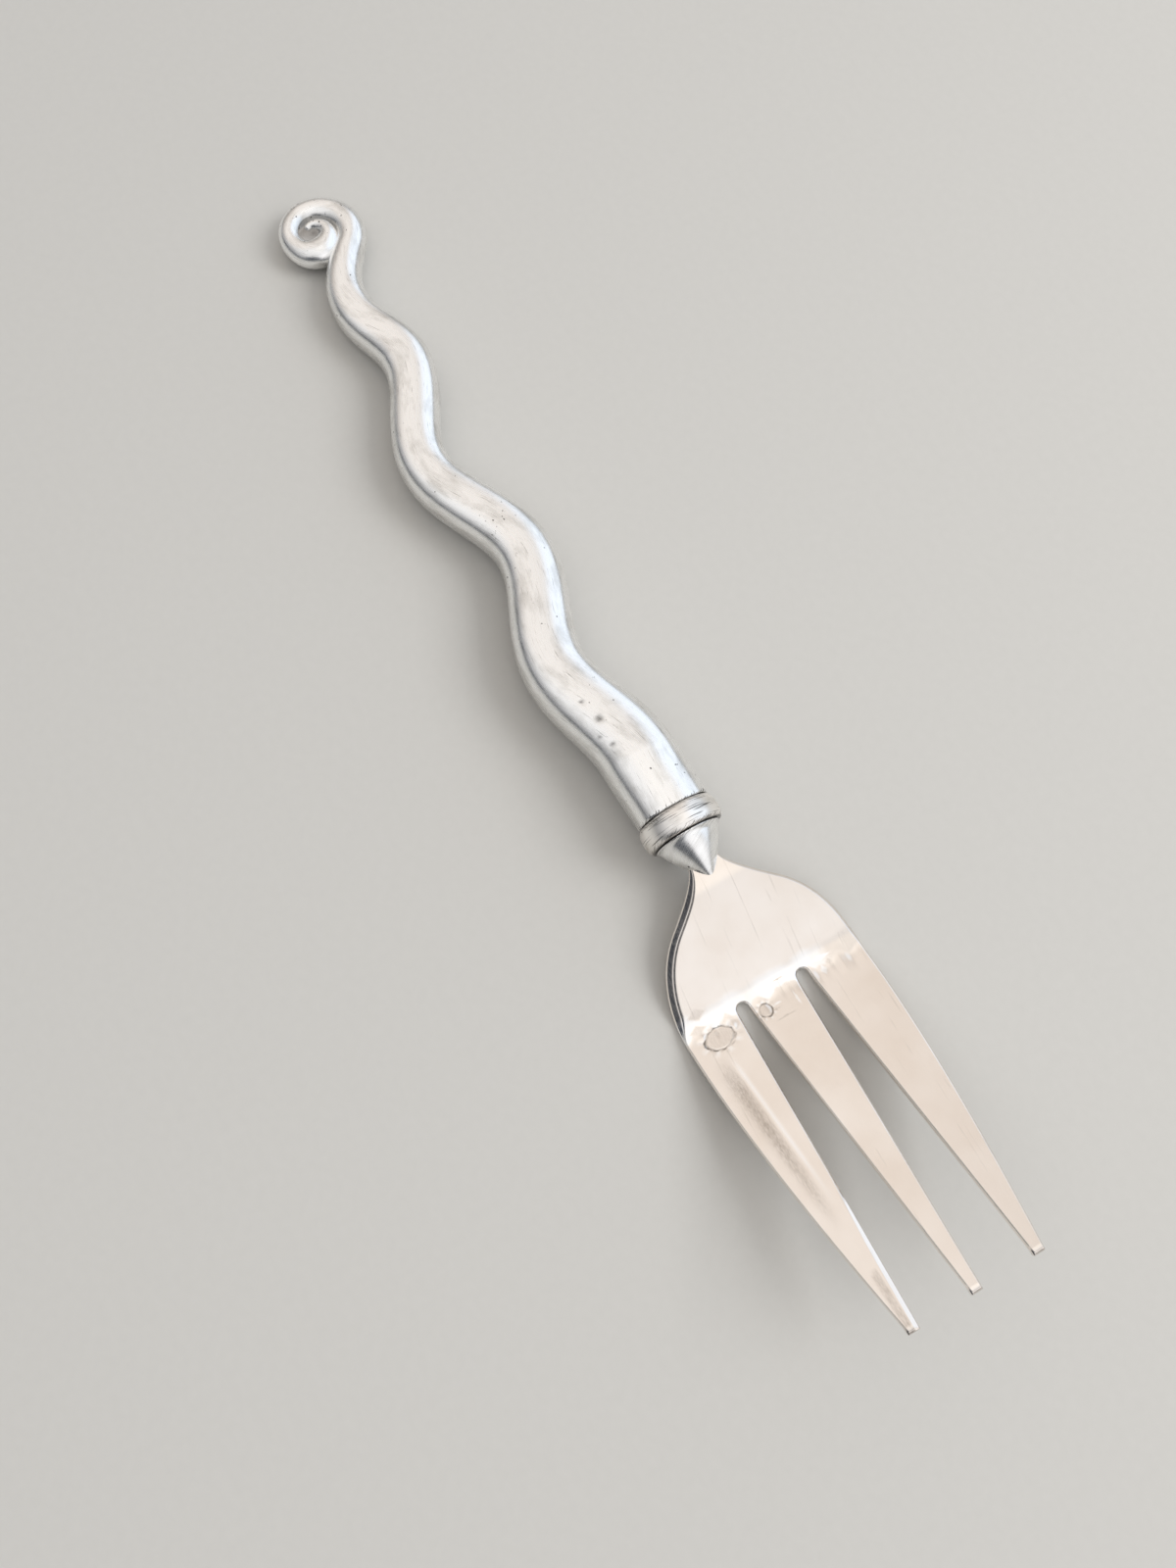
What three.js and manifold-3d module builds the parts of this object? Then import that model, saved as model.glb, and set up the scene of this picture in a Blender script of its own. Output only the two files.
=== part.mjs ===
// Serving fork: a three-tine steel head set by a hidden tang in a wavy cast handle that ends in a curl.
// Millimetres, +Z up. The fork lies on its back, hollow side up, +X pointing from the curl to the tines.
// While it is built, x = 0 is the seam between handle and collar, and z = 0 is the table.
import * as THREE from 'three';
import { mergeVertices } from 'three/addons/utils/BufferGeometryUtils.js';
import Module from 'manifold-3d';

const wasm = await Module();
wasm.setup();

// Fits
const SEAM_GAP = 0.3; // left between any two pieces that touch

// Collar and nose, turned round the long axis
const COLLAR_WIDTH = 5;
const COLLAR_RADIUS = 8.5; // crown of the bead, which rests on the table
const COLLAR_CROWN = 1; // how far the crown stands above the bead's edges
const NOSE_LENGTH = 10.1;
const NOSE_RADIUS = 6.7; // at the collar
const NOSE_FULLNESS = 1.3; // 1 is a straight cone, more is a rounder ogive

// Steel head, seen from above
const NECK_WIDTH = 6.6;
const FLANK_RUN = 9.2; // from the neck's end to the middle of the palm's slanted flank
const FLANK_HALF_WIDTH = 11.7;
const FLANK_ANGLE = THREE.MathUtils.degToRad(51);
const PALM_LENGTH = 27.7; // from the neck's end to the middle of the heel
const PALM_WIDTH = 40.4;
const BROADEST_PAST_HEEL = 1.7;
const TINE_LENGTH = 61.6; // from the middle of the heel to the tips
const TINE_FULLNESS = 23; // how far the outer tines hold the palm's width before they taper
const TIP_SPACING = 12.8;
const TIP_WIDTH = 2.1;
const SLOT_ROOT_RADIUS = 1.35;
const SLOT_SPACING = 13.7; // between the middles of the two slots' round ends
const SLOT_PAST_HEEL = 0.8;

// Steel head, seen from the side
const STEEL_THICKNESS = 2;
const TIP_THICKNESS = 1.5;
const TIP_RISE = 22; // top of the tips above the table
const HEEL_LAND = 4; // between the two bend lines under the tine roots, flat on the table
const HEEL_BEND_RADIUS = 6;
const NECK_BEND_RADIUS = 10;

// Tang, and its socket in the handle
const TANG_WIDTH = 5;
const TANG_LENGTH = 20; // behind the seam
const TANG_IN_NOSE = 2.4; // from the collar to where the tang widens to the neck
const SOCKET_RADIUS = 5;
const SOCKET_END_WALL = 2; // cement behind the tang's end

// Handle: the places where its wave turns back, counted from the seam and from the long axis,
// with half the width there
const HANDLE_BENDS = [
  { along: 0, aside: 0, half: 7.7 },
  { along: 13, aside: -0.3, half: 8 },
  { along: 38.2, aside: -5.5, half: 6.9 },
  { along: 65.2, aside: 1.7, half: 6.2 },
  { along: 93.7, aside: -7.1, half: 5.5 },
  { along: 120.7, aside: 1.5, half: 5.5 },
  { along: 138.6, aside: -2.7, half: 4.6 },
];
const HANDLE_FLATNESS = 0.9; // height over width
const HANDLE_SQUARENESS = 2.7; // 2 is an oval, more has flatter faces and tighter edges
const CURL_SQUARENESS = 2;

// Curl: the eye's place, and the rolled bar at each quarter turn, from a quarter before the top inwards
const CURL_ALONG = 160.7;
const CURL_ASIDE = -1.7;
const CURL_QUARTERS = [
  { reach: 9.2, half: 3.5, tall: 3.5 },
  { reach: 8.2, half: 3.5, tall: 3.2 },
  { reach: 7, half: 3, tall: 2.8 },
  { reach: 5.1, half: 2.75, tall: 2.7 },
  { reach: 4.2, half: 3.6, tall: 3.2 },
  { reach: 3.1, half: 2.2, tall: 2.9 },
  { reach: 2.4, half: 1.3, tall: 2.4 },
  { reach: 2, half: 0.8, tall: 1.6 },
];
const ROLL_JOIN = -0.45; // quarter turns past the top where the stem runs into the roll
const ROLL_SPLIT = 2.6; // quarter turns where the outer roll ends under the inner one
const CORE_START = 2.3; // quarter turns where the inner roll begins inside the outer one
const CORE_TUCK = 0.95; // share of its size while it is inside
const CORE_END = 5.2; // quarter turns where the inner roll stops beside the eye
const STEM_PULL = 7; // how strongly the stem sweeps from the last bend into the roll
const WEB_RADIUS = 6; // thin floor that the casting leaves between its turns
const WEB_HALF_HEIGHT = 1.6;

// Fineness of the facets
const ROUND_SIDES = 32;
const TUBE_SIDES = 16;
const CURVE_STEPS = 10;
const WAVE_STEPS = 7; // rings on each half wave
const TURN_STEPS = 6; // rings on each quarter turn
const WELD = 1e-4; // points closer than this are one

// Places that follow from these sizes
const axisZ = COLLAR_RADIUS;
const collarStart = SEAM_GAP;
const collarEnd = collarStart + COLLAR_WIDTH;
const noseStart = collarEnd + SEAM_GAP;
const noseTip = noseStart + NOSE_LENGTH;
const slotHalfWidth = NECK_WIDTH / 2 + SEAM_GAP;
const neckEnd = noseStart + NOSE_LENGTH * Math.pow(1 - slotHalfWidth / NOSE_RADIUS, 1 / NOSE_FULLNESS);
const heel = neckEnd + PALM_LENGTH;
const tips = heel + TINE_LENGTH;
const socketDepth = TANG_LENGTH + SEAM_GAP + SOCKET_END_WALL;

// A closed geometry as a solid for cutting and joining, and back

function solidOf(geometry) {
  const bare = geometry.clone();
  bare.deleteAttribute('normal');
  bare.deleteAttribute('uv');
  const merged = mergeVertices(bare, WELD);
  const vertProperties = new Float32Array(merged.attributes.position.array);
  const triVerts = new Uint32Array(merged.index.array);
  return new wasm.Manifold(new wasm.Mesh({ numProp: 3, vertProperties, triVerts }));
}

function geometryOf(solid) {
  const { vertProperties, triVerts } = solid.getMesh();
  const geometry = new THREE.BufferGeometry();
  geometry.setAttribute('position', new THREE.BufferAttribute(new Float32Array(vertProperties), 3));
  geometry.setIndex(new THREE.BufferAttribute(new Uint32Array(triVerts), 1));
  geometry.computeVertexNormals();
  return geometry;
}

// A round body on the long axis, from a profile of [x, radius] points
function turned(profile) {
  const points = profile.map(([x, radius]) => new THREE.Vector2(radius, x));
  return new THREE.LatheGeometry(points, ROUND_SIDES).rotateZ(-Math.PI / 2).translate(0, 0, axisZ);
}

function rod(radius, from, to) {
  return turned([[from, 0], [from, radius], [to, radius], [to, 0]]);
}

function bar(width, height, from, to) {
  return new THREE.BoxGeometry(to - from, width, height).translate((from + to) / 2, 0, axisZ);
}

// The head's outline seen from above
function headOutline() {
  const neck = NECK_WIDTH / 2;
  const palm = PALM_WIDTH / 2;
  const tang = TANG_WIDTH / 2;
  const tip = TIP_WIDTH / 2;
  const shoulder = noseStart + TANG_IN_NOSE;
  const flankX = neckEnd + FLANK_RUN;
  const hollowX = flankX - (FLANK_HALF_WIDTH - neck) / Math.tan(FLANK_ANGLE);
  const roundX = flankX + (palm - FLANK_HALF_WIDTH) / Math.tan(FLANK_ANGLE);
  const broadX = heel + BROADEST_PAST_HEEL;
  const taperX = broadX + TINE_FULLNESS;
  const slotX = heel + SLOT_PAST_HEEL;
  const slotY = SLOT_SPACING / 2;
  const shape = new THREE.Shape();
  shape.moveTo(-TANG_LENGTH, -tang);
  shape.lineTo(shoulder, -tang);
  shape.lineTo(shoulder, -neck);
  shape.lineTo(neckEnd, -neck);
  shape.quadraticCurveTo(hollowX, -neck, flankX, -FLANK_HALF_WIDTH);
  shape.quadraticCurveTo(roundX, -palm, broadX, -palm);
  shape.quadraticCurveTo(taperX, -palm, tips, -TIP_SPACING - tip);
  shape.lineTo(tips, -TIP_SPACING + tip);
  shape.absarc(slotX, -slotY, SLOT_ROOT_RADIUS, -Math.PI / 2, Math.PI / 2, true);
  shape.lineTo(tips, -tip);
  shape.lineTo(tips, tip);
  shape.absarc(slotX, slotY, SLOT_ROOT_RADIUS, -Math.PI / 2, Math.PI / 2, true);
  shape.lineTo(tips, TIP_SPACING - tip);
  shape.lineTo(tips, TIP_SPACING + tip);
  shape.quadraticCurveTo(taperX, palm, broadX, palm);
  shape.quadraticCurveTo(roundX, palm, flankX, FLANK_HALF_WIDTH);
  shape.quadraticCurveTo(hollowX, neck, neckEnd, neck);
  shape.lineTo(shoulder, neck);
  shape.lineTo(shoulder, tang);
  shape.lineTo(-TANG_LENGTH, tang);
  return shape;
}

// A line through corners, with each inner corner rounded to its radius
function roundedLine(corners) {
  const line = [corners[0].at];
  for (let i = 1; i < corners.length - 1; i += 1) {
    const { at, radius } = corners[i];
    const back = corners[i - 1].at.clone().sub(at).normalize();
    const ahead = corners[i + 1].at.clone().sub(at).normalize();
    const reach = radius / Math.tan(back.angleTo(ahead) / 2);
    const start = at.clone().addScaledVector(back, reach);
    const end = at.clone().addScaledVector(ahead, reach);
    line.push(...new THREE.QuadraticBezierCurve(start, at, end).getPoints(CURVE_STEPS / 2));
  }
  line.push(corners[corners.length - 1].at);
  return line;
}

// The head seen from the side: the middle line of the sheet, given its thickness
function headProfile() {
  const middle = STEEL_THICKNESS / 2;
  const tineStart = heel + HEEL_LAND / 2;
  const slope = (TIP_RISE - TIP_THICKNESS / 2 - middle) / (tips - tineStart);
  const beyond = tips + STEEL_THICKNESS;
  const line = roundedLine([
    { at: new THREE.Vector2(-TANG_LENGTH - SEAM_GAP, axisZ) },
    { at: new THREE.Vector2(noseTip, axisZ), radius: NECK_BEND_RADIUS },
    { at: new THREE.Vector2(heel - HEEL_LAND / 2, middle), radius: HEEL_BEND_RADIUS },
    { at: new THREE.Vector2(tineStart, middle), radius: HEEL_BEND_RADIUS },
    { at: new THREE.Vector2(beyond, middle + slope * (beyond - tineStart)) },
  ]);
  const upper = [];
  const lower = [];
  line.forEach((point, i) => {
    const before = line[Math.max(i - 1, 0)];
    const after = line[Math.min(i + 1, line.length - 1)];
    const along = after.clone().sub(before).normalize();
    const up = new THREE.Vector2(-along.y, along.x);
    const share = THREE.MathUtils.clamp((point.x - tineStart) / (tips - tineStart), 0, 1);
    const half = THREE.MathUtils.lerp(STEEL_THICKNESS, TIP_THICKNESS, share) / 2;
    upper.push(point.clone().addScaledVector(up, half));
    lower.push(point.clone().addScaledVector(up, -half));
  });
  return new THREE.Shape([...upper, ...lower.reverse()]);
}

function forkHead() {
  const depth = TIP_RISE + axisZ + 2 * STEEL_THICKNESS;
  const curveSegments = CURVE_STEPS;
  const plan = new THREE.ExtrudeGeometry(headOutline(), { depth, bevelEnabled: false, curveSegments });
  plan.translate(0, 0, -STEEL_THICKNESS);
  const side = new THREE.ExtrudeGeometry(headProfile(), { depth: 2 * PALM_WIDTH, bevelEnabled: false });
  side.rotateX(Math.PI / 2).translate(0, PALM_WIDTH, 0);
  return geometryOf(solidOf(plan).intersect(solidOf(side)));
}

// Ogive whose slot lets the neck out and leaves a point lying on the steel
function nose() {
  const profile = [[noseStart, 0]];
  for (let i = 0; i < CURVE_STEPS; i += 1) {
    const share = i / CURVE_STEPS;
    profile.push([noseStart + NOSE_LENGTH * share, NOSE_RADIUS * (1 - Math.pow(share, NOSE_FULLNESS))]);
  }
  profile.push([noseTip, 0]);
  const slot = bar(2 * slotHalfWidth, STEEL_THICKNESS + 2 * SEAM_GAP, collarEnd, noseTip + SEAM_GAP);
  return geometryOf(solidOf(turned(profile)).subtract(solidOf(slot)));
}

// Bead with a round crown and a plain hole
function collarRing() {
  const profile = [[collarStart, SOCKET_RADIUS]];
  for (let i = 0; i <= CURVE_STEPS; i += 1) {
    const angle = Math.PI * (i / CURVE_STEPS);
    const x = collarStart + (COLLAR_WIDTH / 2) * (1 - Math.cos(angle));
    profile.push([x, COLLAR_RADIUS - COLLAR_CROWN * (1 - Math.sin(angle))]);
  }
  profile.push([collarEnd, SOCKET_RADIUS], [collarStart, SOCKET_RADIUS]);
  return turned(profile);
}

// Rings on the handle's wave: half a cosine wave from each bend to the next
function waveStations() {
  const stations = [];
  for (let i = 1; i < HANDLE_BENDS.length; i += 1) {
    const from = HANDLE_BENDS[i - 1];
    const to = HANDLE_BENDS[i];
    for (let k = i > 1 ? 1 : 0; k <= WAVE_STEPS; k += 1) {
      const share = k / WAVE_STEPS;
      const swing = (1 - Math.cos(Math.PI * share)) / 2;
      const steepest = ((to.aside - from.aside) * Math.PI) / 2 / (to.along - from.along);
      const slope = steepest * Math.sin(Math.PI * share);
      const half = THREE.MathUtils.lerp(from.half, to.half, share);
      stations.push({
        at: new THREE.Vector2(
          THREE.MathUtils.lerp(from.along, to.along, share),
          THREE.MathUtils.lerp(from.aside, to.aside, swing),
        ),
        side: new THREE.Vector2(-slope, 1).normalize(),
        half,
        tall: HANDLE_FLATNESS * half,
        square: HANDLE_SQUARENESS,
      });
    }
  }
  return stations;
}

// A ring on the curl, at a number of quarter turns past the top
function curlStation(quarters) {
  const span = CURL_QUARTERS.length - 1;
  const law = (size) => {
    const points = CURL_QUARTERS.map((row, i) => new THREE.Vector2(i, row[size]));
    return new THREE.SplineCurve(points).getPoint((quarters + 1) / span).y;
  };
  const angle = (quarters * Math.PI) / 2;
  const side = new THREE.Vector2(Math.sin(angle), Math.cos(angle));
  const at = new THREE.Vector2(CURL_ALONG, CURL_ASIDE).addScaledVector(side, law('reach'));
  return { at, side, half: law('half'), tall: law('tall'), square: CURL_SQUARENESS };
}

function curlStations(from, to) {
  const steps = Math.round((to - from) * TURN_STEPS);
  const stations = [];
  for (let i = 0; i <= steps; i += 1) stations.push(curlStation(from + ((to - from) * i) / steps));
  return stations;
}

// Rings on the stem that sweeps from the last bend into the curl
function stemStations(start, end) {
  const away = new THREE.Vector2(start.side.y, -start.side.x);
  const arriving = new THREE.Vector2(end.side.y, -end.side.x);
  const sweep = new THREE.CubicBezierCurve(
    start.at,
    start.at.clone().addScaledVector(away, STEM_PULL),
    end.at.clone().addScaledVector(arriving, -STEM_PULL),
    end.at,
  );
  const stations = [];
  for (let k = 1; k < WAVE_STEPS; k += 1) {
    const share = k / WAVE_STEPS;
    const travel = sweep.getTangent(share);
    stations.push({
      at: sweep.getPoint(share),
      side: new THREE.Vector2(-travel.y, travel.x),
      half: THREE.MathUtils.lerp(start.half, end.half, share),
      tall: THREE.MathUtils.lerp(start.tall, end.tall, share),
      square: THREE.MathUtils.lerp(start.square, end.square, share),
    });
  }
  return stations;
}

// A closed tube of oval rings, squarer where their squareness is above 2;
// its axis sinks by droop for each millimetre from the seam
function tube(stations, droop) {
  const positions = [];
  const index = [];
  for (const { at, side, half, tall, square } of stations) {
    const swell = (share) => Math.sign(share) * Math.pow(Math.abs(share), 2 / square);
    for (let k = 0; k < TUBE_SIDES; k += 1) {
      const angle = (2 * Math.PI * (k + 0.5)) / TUBE_SIDES;
      const point = at.clone().addScaledVector(side, half * swell(Math.cos(angle)));
      positions.push(-point.x, point.y, axisZ - droop * at.x + tall * swell(Math.sin(angle)));
    }
  }
  const ringStart = (i) => i * TUBE_SIDES;
  for (let i = 0; i < stations.length - 1; i += 1) {
    for (let k = 0; k < TUBE_SIDES; k += 1) {
      const next = (k + 1) % TUBE_SIDES;
      const [a, b] = [ringStart(i) + k, ringStart(i) + next];
      const [c, d] = [ringStart(i + 1) + k, ringStart(i + 1) + next];
      index.push(a, c, b, b, c, d);
    }
  }
  for (let k = 1; k < TUBE_SIDES - 1; k += 1) {
    const last = ringStart(stations.length - 1);
    index.push(0, k, k + 1, last, last + k + 1, last + k);
  }
  const geometry = new THREE.BufferGeometry();
  geometry.setAttribute('position', new THREE.Float32BufferAttribute(positions, 3));
  geometry.setIndex(index);
  return geometry;
}

// Casting: wave, stem and outer roll in one tube, inner roll in another, the web, and the socket cut out
function handleCasting() {
  const wave = waveStations();
  const roll = curlStations(ROLL_JOIN, ROLL_SPLIT);
  const outer = [...wave, ...stemStations(wave[wave.length - 1], roll[0]), ...roll];
  const tucked = Math.ceil((ROLL_SPLIT - CORE_START) * TURN_STEPS);
  const core = curlStations(CORE_START, CORE_END);
  core.slice(0, tucked + 1).forEach((ring) => {
    ring.half *= CORE_TUCK;
    ring.tall *= CORE_TUCK;
  });
  const droop = Math.min(...outer.slice(1).map(({ at, tall }) => (axisZ - tall) / at.x));
  const web = new THREE.CylinderGeometry(WEB_RADIUS, WEB_RADIUS, 2 * WEB_HALF_HEIGHT, ROUND_SIDES);
  web.rotateX(Math.PI / 2).translate(-CURL_ALONG, CURL_ASIDE, axisZ - droop * CURL_ALONG);
  const solid = solidOf(tube(outer, droop)).add(solidOf(tube(core, droop))).add(solidOf(web));
  return geometryOf(solid.subtract(solidOf(rod(SOCKET_RADIUS, -socketDepth, SEAM_GAP))));
}

// Epoxy that fills the socket and the collar round the tang
function tangCement() {
  const plug = rod(SOCKET_RADIUS - SEAM_GAP, SEAM_GAP - socketDepth, collarEnd);
  const slotWidth = TANG_WIDTH + 2 * SEAM_GAP;
  const slot = bar(slotWidth, STEEL_THICKNESS + 2 * SEAM_GAP, -TANG_LENGTH - SEAM_GAP, noseStart);
  return geometryOf(solidOf(plug).subtract(solidOf(slot)));
}

const polishedSteel = { color: 0xd9d2cb, roughness: 0.22, metalness: 1 };
const castAluminium = { color: 0xcfcac4, roughness: 0.35, metalness: 1 };
const darkenedAluminium = { color: 0xb4b2ae, roughness: 0.4, metalness: 1 };
const epoxy = { color: 0x8a8577, roughness: 0.7, metalness: 0 };

function piece(name, geometry, finish) {
  const mesh = new THREE.Mesh(geometry, new THREE.MeshStandardMaterial(finish));
  mesh.name = name;
  return mesh;
}

const fork = new THREE.Group();
fork.add(
  piece('fork_head', forkHead(), polishedSteel),
  piece('nose', nose(), castAluminium),
  piece('collar_ring', collarRing(), darkenedAluminium),
  piece('handle_casting', handleCasting(), castAluminium),
  piece('tang_cement', tangCement(), epoxy),
);

// The origin is the middle of the fork's outline, on the table
const outline = new THREE.Box3().setFromObject(fork);
const centre = outline.getCenter(new THREE.Vector3());
fork.position.set(-centre.x, -centre.y, -outline.min.z);

export default fork;
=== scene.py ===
"""Looks of the serving fork: a polished steel head in a wavy cast handle with a bead collar and a curl.
Lengths are in millimetres in the CAD frame until a mesh is filled, and x counts from the handle's seam."""

import bmesh
import bpy
import numpy as np
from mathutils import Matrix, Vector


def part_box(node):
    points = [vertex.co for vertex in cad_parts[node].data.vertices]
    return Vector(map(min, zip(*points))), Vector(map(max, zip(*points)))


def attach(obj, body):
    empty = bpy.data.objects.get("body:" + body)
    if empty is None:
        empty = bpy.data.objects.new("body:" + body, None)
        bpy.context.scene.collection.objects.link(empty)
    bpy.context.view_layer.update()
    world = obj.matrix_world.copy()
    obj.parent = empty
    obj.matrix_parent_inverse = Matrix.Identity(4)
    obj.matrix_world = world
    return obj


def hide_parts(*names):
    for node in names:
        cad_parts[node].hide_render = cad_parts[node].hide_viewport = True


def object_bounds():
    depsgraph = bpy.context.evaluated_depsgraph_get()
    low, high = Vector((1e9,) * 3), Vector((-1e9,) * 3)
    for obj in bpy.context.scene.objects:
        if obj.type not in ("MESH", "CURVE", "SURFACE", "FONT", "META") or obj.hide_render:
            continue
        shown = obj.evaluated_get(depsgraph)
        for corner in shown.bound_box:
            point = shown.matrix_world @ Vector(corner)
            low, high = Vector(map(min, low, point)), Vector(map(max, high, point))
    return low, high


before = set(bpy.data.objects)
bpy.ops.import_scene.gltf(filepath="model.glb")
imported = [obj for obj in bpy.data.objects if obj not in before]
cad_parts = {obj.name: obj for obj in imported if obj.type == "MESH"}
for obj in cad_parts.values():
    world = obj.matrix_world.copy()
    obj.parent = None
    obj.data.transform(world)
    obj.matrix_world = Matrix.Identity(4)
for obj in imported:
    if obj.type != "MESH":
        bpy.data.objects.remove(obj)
cad_box = [list(corner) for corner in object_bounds()]

MM = 0.001

# Sizes of the solids, which the fine surfaces keep
SEAM_GAP = 0.3
SEAM_LAP = 0.1  # each fine surface comes this much closer at a seam than its solid
COLLAR_WIDTH, COLLAR_RADIUS, COLLAR_CROWN = 5.0, 8.5, 1.0
NOSE_LENGTH, NOSE_RADIUS, NOSE_FULLNESS = 10.1, 6.7, 1.3
NECK_WIDTH, FLANK_RUN, FLANK_HALF_WIDTH, FLANK_ANGLE = 6.6, 9.2, 11.7, np.radians(51)
PALM_LENGTH, PALM_WIDTH, BROADEST_PAST_HEEL = 27.7, 40.4, 1.7
TINE_LENGTH, TINE_FULLNESS, TIP_SPACING, TIP_WIDTH = 61.6, 23.0, 12.8, 2.1
SLOT_ROOT_RADIUS, SLOT_SPACING, SLOT_PAST_HEEL = 1.35, 13.7, 0.8
STEEL_THICKNESS, TIP_THICKNESS, TIP_RISE = 2.0, 1.5, 22.0
HEEL_LAND, HEEL_BEND_RADIUS, NECK_BEND_RADIUS = 4.0, 6.0, 10.0
TANG_WIDTH, TANG_LENGTH, TANG_IN_NOSE = 5.0, 20.0, 2.4
SOCKET_RADIUS, SOCKET_END_WALL = 5.0, 2.0
HANDLE_BENDS = np.array([  # along, aside, half width
    [0, 0, 7.7], [13, -0.3, 8], [38.2, -5.5, 6.9], [65.2, 1.7, 6.2],
    [93.7, -7.1, 5.5], [120.7, 1.5, 5.5], [138.6, -2.7, 4.6]])
HANDLE_FLATNESS, HANDLE_SQUARENESS, CURL_SQUARENESS = 0.9, 2.7, 2.0
CURL_EYE = np.array([160.7, -1.7])
CURL_QUARTERS = np.array([  # reach, half width, half height
    [9.2, 3.5, 3.5], [8.2, 3.5, 3.2], [7, 3, 2.8], [5.1, 2.75, 2.7],
    [4.2, 3.6, 3.2], [3.1, 2.2, 2.9], [2.4, 1.3, 2.4], [2, 0.8, 1.6]])
ROLL_JOIN, CORE_END, STEM_PULL = -0.45, 5.2, 7.0
WEB_RADIUS, WEB_HALF_HEIGHT = 6.0, 1.6

AXIS_Z = COLLAR_RADIUS
SEAM_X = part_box("collar_ring")[0].x / MM - SEAM_GAP
COLLAR_END = SEAM_GAP + COLLAR_WIDTH
NOSE_START = COLLAR_END + SEAM_GAP
NOSE_TIP = NOSE_START + NOSE_LENGTH
NECK_SHARE = (1 - (NECK_WIDTH / 2 + SEAM_GAP) / NOSE_RADIUS) ** (1 / NOSE_FULLNESS)
NECK_END = NOSE_START + NOSE_LENGTH * NECK_SHARE
HEEL = NECK_END + PALM_LENGTH
TIPS = HEEL + TINE_LENGTH
SLOT_X, SLOT_Y = HEEL + SLOT_PAST_HEEL, SLOT_SPACING / 2

# Marks of the press round the tine roots: past the heel, across, half length, half width, depth
PRESS_MARKS = [(3.3, -13.8, 2.1, 3.0, 0.12), (3.1, -3.3, 1.3, 1.3, 0.08)]
MARK_LINE = 0.28  # width of the painted shade in a mark's groove


# Finishes

def linear(text):
    """An sRGB hex colour as linear red, green, blue and alpha."""
    s = np.array([int(text[i:i + 2], 16) for i in (1, 3, 5)]) / 255
    return (*np.where(s <= 0.04045, s / 12.92, ((s + 0.055) / 1.055) ** 2.4), 1.0)


def add(tree, kind, **settings):
    """Adds a node. A setting is a property, or a socket by name or number (i0, i1) with a value or a socket
    to link; an underscore in a socket's name stands for a space."""
    node = tree.nodes.new(kind)
    for key, value in settings.items():
        if key in node.bl_rna.properties:
            setattr(node, key, value)
            continue
        numbered = key[0] == "i" and key[1:].isdigit()
        socket = node.inputs[int(key[1:]) if numbered else key.replace("_", " ")]
        if isinstance(value, bpy.types.NodeSocket):
            tree.links.new(value, socket)
        else:
            socket.default_value = value
    return node


def set_stops(ramp, *stops):
    """Gives a colour ramp its stops, each a place and a colour."""
    elements = ramp.color_ramp.elements
    elements.remove(elements[1])
    elements[0].position, elements[0].color = stops[0]
    for place, colour in stops[1:]:
        elements.new(place).color = colour


def new_finish(name):
    """An empty material and its node tree."""
    finish = bpy.data.materials.new(name)
    finish.use_nodes = True
    finish.node_tree.nodes.clear()
    return finish, finish.node_tree


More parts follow.
